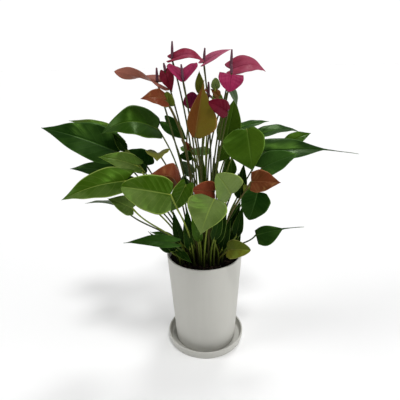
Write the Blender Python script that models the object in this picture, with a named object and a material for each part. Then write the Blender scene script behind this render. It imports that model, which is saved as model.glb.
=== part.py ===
"""Potted anthurium: a tapered pot on its saucer, filled with soil, with leaves and flowers on thin stalks.

Units are metres, +Z is up, and the origin is the centre of the saucer's underside.
Every leaf and flower is placed in the plant's own frame, whose origin is the middle of the soil's surface.
"""

import math
from dataclasses import dataclass

import bmesh
import bpy
from mathutils import Matrix, Vector

MM = 0.001
GAP = 0.0003  # clearance between pieces that touch

# Pot and saucer
POT_HEIGHT = 0.1665
POT_RIM_RADIUS = 0.0625
POT_FOOT_RADIUS = 0.0517
POT_WALL = 0.003
POT_BASE = 0.005
POT_FOOT_ROUNDING = 0.003  # its quarter round is one slanted step and one point on the round
DRAIN_RADIUS = 0.007
SAUCER_RADIUS = 0.0661
SAUCER_FOOT_RADIUS = 0.0632
SAUCER_HEIGHT = 0.0152
SAUCER_WALL = 0.0026
SAUCER_FLOOR = 0.0032

# Soil
SOIL_DROP = 0.010  # from the pot's rim down to the soil
SOIL_EDGE_DROP = 0.003  # how much lower the soil lies along the wall
SOIL_FLAT_SHARE = 0.8  # of the soil's radius, as far as its level middle goes

# Plant
LEAF_THICKNESS = 0.0008
SPATHE_THICKNESS = 0.0009
STALK_RADIUS = 0.0014
STALK_TOP_RADIUS = 0.0011
FLOWER_STALK_RADIUS = 0.0014
SPADIX_RADIUS = 0.0019
SPADIX_TIP_RADIUS = 0.0012
TIP_HALF_WIDTH = 0.0004
STALK_OVERSHOOT = 0.0006  # how far a stalk runs into its blade
STALK_FOOT = 0.002  # every stalk stands upright on the soil this far
TAIL_HALF_WIDTH = 0.0012

# How a stalk bends, as shares of its reach
STALK_SPREAD = 0.1
STALK_UPRIGHT = 0.4
STALK_ARRIVAL = 0.35

# Blade outline
WIDEST_SHARE = 0.26  # of the length from base to tip, where the blade is widest
LOBE_TURN = 0.75 * math.pi  # above a quarter turn, so the lobes' outer corners are rounded off
LOBE_HOLLOW = 1.3  # above 1 the notch between the lobes is rounded

# Mesh density
SHARP_ANGLE = math.radians(40)
WELD = 1e-6
TURNED_STEPS = 40
BLADE_ROWS = 7
BLADE_COLUMNS = 4
STALK_RINGS = 7
STALK_SIDES = 5
FLOWER_STALK_SIDES = 6

SPADIX_OUTLINE = ((0.12, SPADIX_RADIUS), (0.6, SPADIX_RADIUS), (1.0, SPADIX_TIP_RADIUS))  # by share

POT_Z = SAUCER_FLOOR + GAP
RIM_Z = POT_Z + POT_HEIGHT
SOIL_Z = RIM_Z - SOIL_DROP

COLOURS = {
    "pot": ((0.56, 0.55, 0.52), 0.55),
    "soil": ((0.018, 0.014, 0.011), 0.95),
    "dark": ((0.012, 0.045, 0.014), 0.35),
    "green": ((0.035, 0.12, 0.018), 0.35),
    "light": ((0.11, 0.20, 0.05), 0.40),
    "grey": ((0.13, 0.19, 0.13), 0.50),
    "olive": ((0.13, 0.12, 0.03), 0.40),
    "bronze": ((0.19, 0.075, 0.03), 0.40),
    "rust": ((0.26, 0.07, 0.03), 0.40),
    "salmon": ((0.27, 0.10, 0.07), 0.35),
    "rose": ((0.38, 0.05, 0.09), 0.35),
    "magenta": ((0.34, 0.010, 0.07), 0.32),
    "crimson": ((0.13, 0.004, 0.025), 0.32),
    "stalk": ((0.06, 0.045, 0.035), 0.45),
}


@dataclass
class Blade:
    """A heart-shaped blade; lengths in millimetres, angles in degrees, from the plant's own frame."""

    root: tuple  # the stalk's foot: direction round the soil and distance from its middle
    base: tuple  # where the stalk meets the blade
    tip: tuple
    face: tuple  # which way the upper side looks: direction and height
    width: float
    colour: str
    arch: float = 0.08  # how far the midrib bows up, as a share of its length
    fold: float = 8.0  # how far each half rises from flat
    lobe: float = 0.16  # how far the two lobes reach back, as a share of the length
    point: float = 1.2  # above 1 the tip is drawn out
    drip: float = 0.0  # the share of the length that is a thin tail
    twist: float = 0.0  # how far the blade turns about its length
    lean: float = 0.6  # how slanted the stalk arrives at the blade
    heel: float = 0.7  # its width at the base, as a share of its full width
    skew: float = 0.0  # how much wider one half is than the other


@dataclass
class Flower(Blade):
    """A spathe on a stalk that goes on as the spadix."""

    spadix: tuple = (0, 0, 0)  # from the blade's base to the spadix's tip
    lean: float = 0.25


LEAVES = [
    Blade((208, 19), (-49, -35, 262), (-82, -50, 267), (-90, 40), 28, "rust", arch=0.16, lobe=0.08),
    Blade((20, 6), (42, 15, 272), (51, 0, 247), (-60, 10), 14, "grey", lobe=0.1),
    Blade((60, 24), (38, 30, 191), (51, 30, 257), (-90, 10), 38, "green", lobe=0.04),
    Blade((265, 12), (-11, -45, 212), (3, -30, 288), (-95, 15), 42, "bronze", lobe=0.0, heel=0.25, point=1.5,
          skew=0.35),
    Blade((176, 31), (-128, 0, 182), (-239, 0, 222), (-90, 45), 62, "dark", arch=0.07, lobe=0.06),
    Blade((150, 28), (-67, 10, 215), (-150, -6, 212), (-90, 45), 56, "green", arch=0.29, lobe=0.06),
    Blade((160, 18), (-90, 25, 153), (-128, 40, 175), (-90, 40), 42, "dark"),
    Blade((204, 28), (-96, -32, 170), (-148, -45, 188), (-90, 45), 30, "light"),
    Blade((165, 34), (-120, 20, 141), (-215, 30, 149), (-90, 50), 36, "dark"),
    Blade((206, 34), (-108, -64, 158), (-195, -82, 138), (-90, 50), 48, "light", arch=0.1),
    Blade((190, 32), (-126, -20, 101), (-180, -30, 112), (90, 60), 30, "grey"),
    Blade((217, 34), (-101, -70, 119), (-131, -85, 140), (-90, 40), 28, "light", lobe=0.08),
    Blade((241, 34), (-45, -90, 146), (-107, -108, 165), (-90, 35), 54, "light", arch=0.03, lobe=0.04,
          point=0.6, skew=-0.15),
    Blade((240, 22), (-38, -31, 138), (-84, -50, 157), (-90, 45), 44, "rust", arch=0.42, lobe=0.08),
    Blade((190, 24), (-66, -15, 184), (-65, -46, 180), (-90, 70), 38, "olive", fold=18, lobe=0.2),
    Blade((255, 30), (-25, -72, 153), (-49, -61, 108), (-70, 20), 28, "light"),
    Blade((140, 20), (-57, 40, 220), (-24, 35, 191), (-90, 20), 26, "dark"),
    Blade((105, 20), (-19, 12, 182), (-33, 10, 198), (-90, 20), 10, "rust"),
    Blade((120, 12), (-2, 10, 269), (-3, 15, 297), (-100, 10), 14, "olive", lobe=0.1),
    Blade((268, 35), (14, -84, 136), (-6, -110, 95), (-90, 45), 56, "light", arch=0.16, lobe=0.02, heel=0.6,
          skew=0.15),
    Blade((283, 26), (15, -54, 136), (-16, -65, 143), (-90, 20), 30, "rust", lobe=0.06, point=0.7),
    Blade((295, 33), (39, -50, 130), (18, -60, 164), (-90, 35), 50, "light", fold=20, lobe=0.06, heel=0.5,
          point=0.6),
    Blade((335, 20), (64, -18, 218), (73, -28, 157), (-95, 15), 62, "green", arch=0.12, lobe=0.03, heel=0.5,
          skew=0.25),
    Blade((20, 20), (47, 8, 193), (20, 8, 160), (-90, 20), 26, "green", lobe=0.06),
    Blade((318, 28), (67, -58, 151), (107, -68, 152), (-90, 35), 34, "rust", lobe=0.02, heel=0.8),
    Blade((332, 30), (82, -25, 123), (69, -32, 80), (-85, 20), 46, "dark", lobe=0.03, heel=0.6, point=0.7),
    Blade((346, 34), (82, -20, 48), (161, -10, 56), (-90, 45), 34, "dark", arch=0.12, lobe=0.0, drip=0.45,
          skew=0.35),
    Blade((308, 35), (36, -45, 36), (69, -62, 44), (-90, 35), 30, "olive", arch=0.2, lobe=0.06, point=0.6),
    Blade((0, 28), (93, 15, 174), (251, 30, 164), (-90, 55), 46, "dark", arch=0.06, drip=0.35),
    Blade((38, 30), (92, 60, 190), (166, 80, 191), (-90, 70), 30, "dark", arch=0.12),
    Blade((24, 34), (139, 45, 181), (178, 55, 194), (-90, 45), 24, "green"),
    Blade((55, 32), (55, 55, 200), (112, 75, 211), (-90, 60), 20, "dark"),
    Blade((350, 22), (86, -30, 162), (138, -35, 184), (-90, 45), 38, "dark"),
    Blade((229, 38), (-46, -60, 58), (-118, -75, 67), (-90, 55), 22, "dark", point=1.6),
    Blade((184, 38), (-52, 0, 32), (-90, 8, 44), (-90, 60), 18, "dark", point=1.6, lobe=0.1),
    Blade((11, 36), (37, 12, 31), (62, 25, 91), (-90, 15), 22, "dark", lobe=0.1),
    Blade((90, 34), (-10, 95, 150), (-20, 165, 140), (90, 60), 56, "green", arch=0.12),
]

FLOWERS = [
    Flower((185, 14), (-62, -10, 284), (-117, -30, 301), (-90, 35), 30, "salmon",
           arch=0.05, lobe=0.3, point=0.7, twist=165, spadix=(0, 0, 20)),
    Flower((150, 10), (-41, 8, 313), (7, 8, 307), (-90, 50), 22, "rose", arch=0.28, spadix=(1, 0, 25)),
    Flower((50, 20), (4, 32, 307), (45, 42, 325), (-90, 50), 16, "rose", spadix=(2, 0, 21)),
    Flower((240, 14), (-25, -32, 286), (-27, -3, 301), (-90, 60), 54, "magenta", lobe=0.1, fold=40,
           heel=0.3, point=0.8, spadix=(-2, 0, 23)),
    Flower((160, 5), (-50, -12, 298), (-41, -22, 272), (-90, 10), 20, "crimson", spadix=(-2, 3, 12)),
    Flower((225, 7), (-16, -8, 247), (-13, -16, 271), (90, 10), 24, "magenta", lobe=0.02, heel=0.5, point=0.6,
           spadix=(1, 6, 12)),
    Flower((340, 8), (41, -10, 299), (91, 0, 295), (-90, 50), 34, "rose", arch=0.22, spadix=(1, 0, 27)),
    Flower((320, 14), (40, -32, 295), (36, -44, 273), (-90, 20), 34, "magenta", fold=4, lobe=0.0, heel=0.95,
           point=0.7, spadix=(0, 2, 12)),
    Flower((300, 14), (35, -38, 246), (8, -54, 262), (-90, 20), 24, "crimson", lobe=0.03, heel=0.5, point=0.6,
           spadix=(-2, 3, 12)),
    Flower((60, 4), (10, 0, 263), (4, -18, 273), (-90, 40), 18, "crimson", spadix=(0, 0, 20)),
]


def clear_scene():
    for thing in list(bpy.data.objects):
        bpy.data.objects.remove(thing, do_unlink=True)


def material(key):
    """The shared material of this colour name."""
    found = bpy.data.materials.get(key)
    if found:
        return found
    colour, roughness = COLOURS[key]
    made = bpy.data.materials.new(key)
    made.use_nodes = True
    shader = made.node_tree.nodes["Principled BSDF"]
    shader.inputs["Base Color"].default_value = (*colour, 1.0)
    shader.inputs["Roughness"].default_value = roughness
    shader.inputs["Metallic"].default_value = 0.0
    made.diffuse_color = (*colour, 1.0)
    return made


def add_object(name, build, colour, parent=None):
    """A smooth-shaded object from a bmesh; the bmesh is freed."""
    mesh = bpy.data.meshes.new(name)
    build.to_mesh(mesh)
    build.free()
    mesh.shade_smooth()
    mesh.set_sharp_from_angle(angle=SHARP_ANGLE)
    mesh.materials.append(material(colour))
    thing = bpy.data.objects.new(name, mesh)
    bpy.context.scene.collection.objects.link(thing)
    thing.parent = parent
    return thing


def hide_helper(thing):
    thing.hide_render = True
    thing.display_type = "WIRE"


def turned(outline, closed):
    """A bmesh of the outline's (radius, height) points turned round Z."""
    build = bmesh.new()
    corners = [build.verts.new((radius, 0.0, height)) for radius, height in outline]
    pairs = list(zip(corners, corners[1:]))
    if closed:
        pairs.append((corners[-1], corners[0]))
    edges = [build.edges.new(pair) for pair in pairs]
    bmesh.ops.spin(
        build,
        geom=corners + edges,
        cent=(0, 0, 0),
        axis=(0, 0, 1),
        angle=math.tau,
        steps=TURNED_STEPS,
        use_merge=True,
    )
    bmesh.ops.remove_doubles(build, verts=build.verts, dist=WELD)
    bmesh.ops.recalc_face_normals(build, faces=build.faces)
    return build


def pot_radius(height):
    """The pot's outer radius at this height over its own foot."""
    return POT_FOOT_RADIUS + (POT_RIM_RADIUS - POT_FOOT_RADIUS) * height / POT_HEIGHT


def make_pot():
    lip = POT_WALL / 2
    rounding = POT_FOOT_ROUNDING
    outline = [
        (DRAIN_RADIUS, 0.0),
        (POT_FOOT_RADIUS - rounding, 0.0),
        (pot_radius(rounding) - rounding * (1 - math.sin(math.pi / 3)), rounding / 2),
        (pot_radius(rounding), rounding),
        (pot_radius(POT_HEIGHT - lip), POT_HEIGHT - lip),
        (POT_RIM_RADIUS - lip / 2, POT_HEIGHT),
        (POT_RIM_RADIUS - POT_WALL + lip / 2, POT_HEIGHT),
        (pot_radius(POT_HEIGHT - lip) - POT_WALL, POT_HEIGHT - lip),
        (pot_radius(POT_BASE) - POT_WALL, POT_BASE),
        (DRAIN_RADIUS, POT_BASE),
    ]
    pot = add_object("pot", turned(outline, closed=True), "pot")
    pot.location.z = POT_Z


def make_saucer():
    lip = SAUCER_WALL / 2
    inner_foot = SAUCER_FOOT_RADIUS - SAUCER_WALL
    outline = [
        (0.0, 0.0),
        (SAUCER_FOOT_RADIUS - lip, 0.0),
        (SAUCER_FOOT_RADIUS, lip),
        (SAUCER_RADIUS, SAUCER_HEIGHT - lip),
        (SAUCER_RADIUS - lip, SAUCER_HEIGHT),
        (SAUCER_RADIUS - SAUCER_WALL, SAUCER_HEIGHT - lip),
        (inner_foot, SAUCER_FLOOR + lip),
        (inner_foot - lip, SAUCER_FLOOR),
        (0.0, SAUCER_FLOOR),
    ]
    add_object("saucer", turned(outline, closed=False), "pot")


def make_soil():
    low = POT_BASE + GAP
    top = POT_HEIGHT - SOIL_DROP
    edge = top - SOIL_EDGE_DROP
    inset = POT_WALL + GAP
    outline = [
        (0.0, low),
        (pot_radius(low) - inset, low),
        (pot_radius(edge) - inset, edge),
        ((pot_radius(edge) - inset) * SOIL_FLAT_SHARE, top),
        (0.0, top),
    ]
    soil = add_object("soil", turned(outline, closed=False), "soil")
    soil.location.z = POT_Z


def bezier(start, first, second, end, share):
    """The point this share of the way along a cubic curve."""
    rest = 1.0 - share
    return (
        start * rest**3
        + first * (3 * rest**2 * share)
        + second * (3 * rest * share**2)
        + end * share**3
    )


def tube(points, radii, sides):
    """A bmesh of a round closed tube through the points."""
    build = bmesh.new()
    rings = []
    turn = None
    for index, point in enumerate(points):
        before = points[max(index - 1, 0)]
        after = points[min(index + 1, len(points) - 1)]
        along = (after - before).normalized()
        if turn is None:
            turn = along.orthogonal().normalized()
        turn = (turn - along * turn.dot(along)).normalized()
        across = along.cross(turn)
        ring = []
        for side in range(sides):
            angle = math.tau * side / sides
            offset = turn * math.cos(angle) + across * math.sin(angle)
            ring.append(build.verts.new(point + offset * radii[index]))
        rings.append(ring)
    for lower, upper in zip(rings, rings[1:]):
        for side in range(sides):
            following = (side + 1) % sides
            build.faces.new((lower[side], lower[following], upper[following], upper[side]))
    build.faces.new(rings[0][::-1])
    build.faces.new(rings[-1])
    bmesh.ops.recalc_face_normals(build, faces=build.faces)
    return build


def from_mm(place):
    return Vector(place) * MM


def direction(turn, rise):
    """The unit vector at this angle round +Z and this height, both in degrees."""
    turn = math.radians(turn)
    rise = math.radians(rise)
    return Vector((math.cos(turn) * math.cos(rise), math.sin(turn) * math.cos(rise), math.sin(rise)))


def root_of(plan):
    turn, distance = plan.root
    foot = direction(turn, 0.0) * distance * MM
    foot.z = GAP
    return foot


def stalk_route(foot, end, lean):
    """The stalk's points: it leaves the soil steeply and arrives at its end slanted outwards."""
    reach = end - foot
    outwards = Vector((reach.x, reach.y, 0.0))
    length = reach.length
    arrival = (outwards.normalized() * lean + Vector((0.0, 0.0, 1.0))).normalized()
    start = foot + Vector((0.0, 0.0, STALK_FOOT))
    first = start + outwards * STALK_SPREAD + Vector((0.0, 0.0, length * STALK_UPRIGHT))
    second = end - arrival * length * STALK_ARRIVAL
    bends = [bezier(start, first, second, end, ring / STALK_RINGS) for ring in range(STALK_RINGS + 1)]
    return [foot] + bends


def blade_frame(plan):
    """Length, direction, sideways direction and upper side's direction of a blade."""
    chord = from_mm(plan.tip) - from_mm(plan.base)
    along = chord.normalized()
    aside = along.cross(direction(*plan.face)).normalized()
    upwards = aside.cross(along)
    return chord.length, along, aside, upwards


def half_width(share, plan):
    """Half the blade's width this share of the way from its base to its tip."""
    full = plan.width * MM / 2
    body = share / (1 - plan.drip)
    if body < WIDEST_SHARE:
        growth = math.sin(math.pi / 2 * body / WIDEST_SHARE)
        return full * (plan.heel + (1 - plan.heel) * growth)
    if body < 1:
        rest = (body - WIDEST_SHARE) / (1 - WIDEST_SHARE)
        tail = TAIL_HALF_WIDTH if plan.drip else TIP_HALF_WIDTH
        return max(full * math.cos(math.pi / 2 * rest) ** plan.point, tail)
    return TIP_HALF_WIDTH + (TAIL_HALF_WIDTH - TIP_HALF_WIDTH) * (1 - share)


def blade_point(plan, frame, share, across):
    """A point of the blade's middle surface; across runs from -1 to 1."""
    length, along, aside, upwards = frame
    turn = Matrix.Rotation(math.radians(plan.twist) * share, 3, along)
    out = abs(across)
    half = half_width(share, plan) * (1 + plan.skew * math.copysign(1.0, across))
    back = plan.lobe * length * (1 - share) ** 3 * math.sin(LOBE_TURN * out) ** LOBE_HOLLOW
    fold = math.radians(plan.fold)
    bow = plan.arch * length * math.sin(math.pi * share)
    middle = from_mm(plan.base) + along * (share * length - back) + upwards * bow
    sideways = aside * (across * half * math.cos(fold)) + upwards * (out * half * math.sin(fold))
    return middle + turn @ sideways


def blade(plan):
    """A bmesh sheet of the blade."""
    frame = blade_frame(plan)
    build = bmesh.new()
    rows = []
    for row in range(BLADE_ROWS + 1):
        share = row / BLADE_ROWS
        places = [
            blade_point(plan, frame, share, 2 * column / BLADE_COLUMNS - 1)
            for column in range(BLADE_COLUMNS + 1)
        ]
        rows.append([build.verts.new(place) for place in places])
    for lower, upper in zip(rows, rows[1:]):
        for column in range(BLADE_COLUMNS):
            build.faces.new((lower[column], lower[column + 1], upper[column + 1], upper[column]))
    bmesh.ops.recalc_face_normals(build, faces=build.faces)
    return build


def thicken(thing, thickness):
    solidify = thing.modifiers.new("thickness", "SOLIDIFY")
    solidify.thickness = thickness
    solidify.offset = 0.0


def boolean(thing, other, operation):
    cut = thing.modifiers.new(operation.lower(), "BOOLEAN")
    cut.operation = operation
    cut.object = other
    cut.use_self = operation == "UNION"
    hide_helper(other)


def taper(first, last, count):
    return [first + (last - first) * index / (count - 1) for index in range(count)]


def make_leaf(number, plan, plant):
    route = stalk_route(root_of(plan), from_mm(plan.base), plan.lean)
    route.append(route[-1] + (route[-1] - route[-2]).normalized() * STALK_OVERSHOOT)
    radii = taper(STALK_RADIUS, STALK_TOP_RADIUS, len(route))
    stalk = add_object(f"leaf_stalk_{number:02d}", tube(route, radii, STALK_SIDES), plan.colour, plant)
    leaf = add_object(f"leaf_{number:02d}", blade(plan), plan.colour, plant)
    thicken(leaf, LEAF_THICKNESS)
    boolean(leaf, stalk, "UNION")


def make_flower(number, plan, plant):
    base = from_mm(plan.base)
    route = stalk_route(root_of(plan), base, plan.lean)
    radii = taper(FLOWER_STALK_RADIUS, STALK_TOP_RADIUS, len(route))
    for share, radius in SPADIX_OUTLINE:
        route.append(base + from_mm(plan.spadix) * share)
        radii.append(radius)
    add_object(f"flower_stalk_{number:02d}", tube(route, radii, FLOWER_STALK_SIDES), "stalk", plant)
    clearance = [radius + GAP for radius in radii]
    cutter = add_object(f"cutter_{number:02d}", tube(route, clearance, FLOWER_STALK_SIDES), "stalk", plant)
    spathe = add_object(f"spathe_{number:02d}", blade(plan), plan.colour, plant)
    thicken(spathe, SPATHE_THICKNESS)
    boolean(spathe, cutter, "DIFFERENCE")


def main():
    clear_scene()
    make_saucer()
    make_pot()
    make_soil()
    plant = bpy.data.objects.new("plant", None)
    bpy.context.scene.collection.objects.link(plant)
    plant.location.z = SOIL_Z
    for number, plan in enumerate(LEAVES, 1):
        make_leaf(number, plan, plant)
    for number, plan in enumerate(FLOWERS, 1):
        make_flower(number, plan, plant)


main()
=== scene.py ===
"""The looks of the potted anthurium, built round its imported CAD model. Metres, +Z up."""

import math
from dataclasses import dataclass

import bpy
import numpy as np
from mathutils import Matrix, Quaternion, Vector


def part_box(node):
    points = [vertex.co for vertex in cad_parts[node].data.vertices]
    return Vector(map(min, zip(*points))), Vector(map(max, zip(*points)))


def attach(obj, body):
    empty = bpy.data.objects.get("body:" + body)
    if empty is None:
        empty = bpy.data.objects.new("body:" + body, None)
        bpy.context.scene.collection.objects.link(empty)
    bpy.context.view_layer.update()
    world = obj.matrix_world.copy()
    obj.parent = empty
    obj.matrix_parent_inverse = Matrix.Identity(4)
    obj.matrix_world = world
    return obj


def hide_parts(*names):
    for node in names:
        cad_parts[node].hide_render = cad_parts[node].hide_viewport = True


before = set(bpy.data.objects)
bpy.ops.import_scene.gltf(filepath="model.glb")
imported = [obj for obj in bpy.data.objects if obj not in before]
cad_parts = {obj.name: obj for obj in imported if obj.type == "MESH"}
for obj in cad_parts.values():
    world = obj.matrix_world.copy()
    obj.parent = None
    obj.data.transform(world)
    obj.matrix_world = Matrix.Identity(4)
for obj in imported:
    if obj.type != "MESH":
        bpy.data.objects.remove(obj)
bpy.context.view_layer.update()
SOIL_LOW, SOIL_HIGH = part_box("soil")
POT_LOW, POT_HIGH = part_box("pot")
SAUCER_LOW, SAUCER_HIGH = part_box("saucer")
ORIGIN = np.array([0.0, 0.0, SOIL_HIGH.z])  # the plant's own frame

MM = 0.001
GAP = 0.0003
POT_FOOT_RADIUS = 0.0517
POT_WALL = 0.003
POT_BASE = 0.005
DRAIN_RADIUS = 0.007
SAUCER_FOOT_RADIUS = 0.0632
SAUCER_WALL = 0.0026
SAUCER_FLOOR = 0.0032

STALK_RADIUS = 0.0014
STALK_TOP_RADIUS = 0.0011
STALK_FOOT = 0.002
STALK_SPREAD = 0.1
STALK_UPRIGHT = 0.4
STALK_ARRIVAL = 0.35
WIDEST_SHARE = 0.26
LOBE_TURN = 0.75 * math.pi
LOBE_HOLLOW = 1.3
TIP_HALF_WIDTH = 0.0004
TAIL_HALF_WIDTH = 0.0012

LEAF_THICKNESS = 0.0005
LEAF_VEINS = 8  # side veins on each half
SPATHE_THICKNESS = 0.0007
SPATHE_VEINS = 5
VEIN_BEND = 0.8
VEIN_SWEEP = 0.28  # how far along the blade a side vein runs on its way out
PUCKER = 0.00028
GROOVE_DEPTH = 0.0006  # over the midrib
GROOVE_HALF_WIDTH = 0.0009
KEEL_DEPTH = 0.0009  # under the midrib
KEEL_HALF_WIDTH = 0.0010
SHEATH_SWELL = 0.35  # how much thicker the stalk's foot is
JOINT_SWELL = 0.28  # the same for the joint under the blade
STALK_BURIED = 0.003
MIDRIB_SHARES = (0.03, 0.07, 0.12)  # where the stalk goes on under the blade
MIDRIB_RADII = (0.0009, 0.0007, 0.0003)
MIDRIB_DROP = 0.0007
SPADIX_RADIUS = 0.0019
SPADIX_TAPER = 0.0007
SOIL_DIP = 0.003  # how much lower the soil lies at the pot's wall
SOIL_DIP_FROM = 0.72
SOIL_LUMPS = 0.0016
SOIL_SEED = 5
SOIL_BEVEL = 0.002
SOIL_REACH = 0.058  # from the plant's middle to the pot's wall
CRUMB_REACH = 0.053
CRUMB_DENTS = 0.22
POT_CORNER = 0.0016  # where the plastic's corners start to curve
SAUCER_CORNER = 0.0015
POT_HOLLOW = 0.0006  # how far the pot's underside stands over its foot ring
SAUCER_HOLLOW = 0.0004  # how far the saucer's middle is sunk

BLADE_ROWS = 44
BLADE_COLUMNS = 28
STALK_RINGS = 36
STALK_SIDES = 12
SPADIX_RINGS = 84
SPADIX_SIDES = 26
POT_STEPS = 192
SOIL_STEPS = 180
SOIL_RINGS = 70


# ---------------------------------------------------------------- the plant's tables


@dataclass
class Blade:
    """A heart-shaped blade; lengths in millimetres, angles in degrees, from the plant's own frame."""

    root: tuple
    base: tuple
    tip: tuple
    face: tuple
    width: float
    colour: str
    arch: float = 0.08
    fold: float = 8.0
    lobe: float = 0.16
    point: float = 1.2
    drip: float = 0.0
    twist: float = 0.0
    lean: float = 0.6
    heel: float = 0.7
    skew: float = 0.0
    wave: float = 0.018  # how far the margin waves, as a share of the width
    tone: float = 0.4  # which of its family's two colours it is nearer to
    split: float = 0.0  # how much its two halves differ in that: painted light and shade, one half of a folded blade lighter and the other darker


@dataclass
class Flower(Blade):
    spadix: tuple = (0, 0, 0)
    lean: float = 0.25
    wave: float = 0.012


LEAVES = [
    Blade((208, 19), (-49, -35, 262), (-82, -50, 267), (-90, 40), 28, "rust", arch=0.16, lobe=0.08,
        tone=0.75),
    Blade((20, 6), (42, 15, 272), (51, 0, 247), (-60, 10), 14, "grey", lobe=0.1),
    Blade((60, 24), (38, 30, 191), (51, 30, 257), (-90, 10), 38, "green", lobe=0.04, tone=1.7),
    Blade((265, 12), (-11, -45, 212), (3, -30, 288), (-95, 15), 42, "bronze", lobe=0.0, heel=0.25,
        point=1.9, skew=0.35, tone=0.45, split=0.45),
    Blade((176, 31), (-128, 0, 182), (-239, 0, 222), (-90, 45), 62, "dark", arch=0.07, lobe=0.06,
        tone=0.08),
    Blade((150, 28), (-67, 10, 215), (-150, -6, 212), (-90, 45), 56, "green", arch=0.29, lobe=0.06,
        tone=-0.1),
    Blade((160, 18), (-90, 25, 153), (-128, 40, 175), (-90, 40), 42, "dark", tone=0.05),
    Blade((204, 28), (-96, -32, 170), (-148, -45, 188), (-90, 45), 30, "light", tone=0.3),
    Blade((165, 34), (-120, 20, 141), (-215, 30, 149), (-90, 50), 36, "dark", tone=0.3),
    Blade((206, 34), (-108, -64, 158), (-195, -82, 138), (-90, 50), 48, "light", arch=0.1, tone=0.0,
        split=-0.14),
    Blade((190, 32), (-126, -20, 101), (-180, -30, 112), (90, 60), 30, "grey", tone=0.2),
    Blade((217, 34), (-101, -70, 119), (-131, -85, 140), (-90, 40), 28, "light", lobe=0.08, tone=0.4),
    Blade((241, 34), (-45, -90, 146), (-107, -108, 165), (-90, 35), 54, "light", arch=0.03, lobe=0.04,
        point=0.6, skew=-0.15, tone=0.08, split=-0.22),
    Blade((240, 22), (-38, -31, 138), (-84, -50, 157), (-90, 45), 44, "rust", arch=0.42, lobe=0.08,
        tone=0.4, split=0.35),
    Blade((190, 24), (-66, -15, 184), (-65, -46, 180), (-90, 70), 38, "olive", fold=18, lobe=0.2, tone=0.8),
    Blade((255, 30), (-25, -72, 153), (-49, -61, 108), (-70, 20), 28, "light", tone=-0.3),
    Blade((140, 20), (-57, 40, 220), (-24, 35, 191), (-90, 20), 26, "dark"),
    Blade((105, 20), (-19, 12, 182), (-33, 10, 198), (-90, 20), 10, "rust", tone=0.9),
    Blade((120, 12), (-2, 10, 269), (-3, 15, 297), (-100, 10), 14, "olive", lobe=0.1),
    Blade((268, 35), (14, -84, 136), (-6, -110, 95), (-90, 45), 56, "light", arch=0.16, lobe=0.02, heel=0.6,
        skew=0.15, tone=0.62),
    Blade((283, 26), (15, -54, 136), (-16, -65, 143), (-90, 20), 30, "rust", lobe=0.06, point=0.7,
        tone=1.1),
    Blade((295, 33), (39, -50, 130), (18, -60, 164), (-90, 35), 50, "light", fold=20, lobe=0.06, heel=0.5,
        point=0.6, tone=0.95, split=0.3),
    Blade((335, 20), (64, -18, 218), (73, -28, 157), (-95, 15), 62, "green", arch=0.12, lobe=0.03, heel=0.5,
        skew=0.25, tone=0.8, split=-0.25),
    Blade((20, 20), (47, 8, 193), (20, 8, 160), (-90, 20), 26, "green", lobe=0.06, tone=0.6),
    Blade((318, 28), (67, -58, 151), (107, -68, 152), (-90, 35), 34, "rust", lobe=0.02, heel=0.8,
        tone=0.45),
    Blade((332, 30), (82, -25, 123), (69, -32, 80), (-85, 20), 46, "dark", lobe=0.03, heel=0.6, point=0.7,
        tone=-0.25),
    Blade((346, 34), (82, -20, 48), (161, -10, 56), (-90, 45), 34, "dark", arch=0.12, lobe=0.0, drip=0.45,
        skew=0.35, tone=0.3),
    Blade((308, 35), (36, -45, 36), (69, -62, 44), (-90, 35), 30, "olive", arch=0.2, lobe=0.06, point=0.6,
        tone=0.2, split=0.3),
    Blade((0, 28), (93, 15, 174), (251, 30, 164), (-90, 55), 46, "dark", arch=0.06, drip=0.35, tone=0.08),
    Blade((38, 30), (92, 60, 190), (166, 80, 191), (-90, 70), 30, "dark", arch=0.12, tone=0.8),
    Blade((24, 34), (139, 45, 181), (178, 55, 194), (-90, 45), 24, "green", tone=0.4),
    Blade((55, 32), (55, 55, 200), (112, 75, 211), (-90, 60), 20, "dark", tone=0.7),
    Blade((350, 22), (86, -30, 162), (138, -35, 184), (-90, 45), 38, "dark", tone=1.15, split=-0.4),
    Blade((229, 38), (-46, -60, 58), (-118, -75, 67), (-90, 55), 22, "dark", point=1.6, tone=1.2),
    Blade((184, 38), (-52, 0, 32), (-90, 8, 44), (-90, 60), 18, "dark", point=1.6, lobe=0.1, tone=0.8),
    Blade((11, 36), (37, 12, 31), (62, 25, 91), (-90, 15), 22, "dark", lobe=0.1, tone=0.3),
    Blade((90, 34), (-10, 95, 150), (-20, 165, 140), (90, 60), 56, "green", arch=0.12),
]

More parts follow.
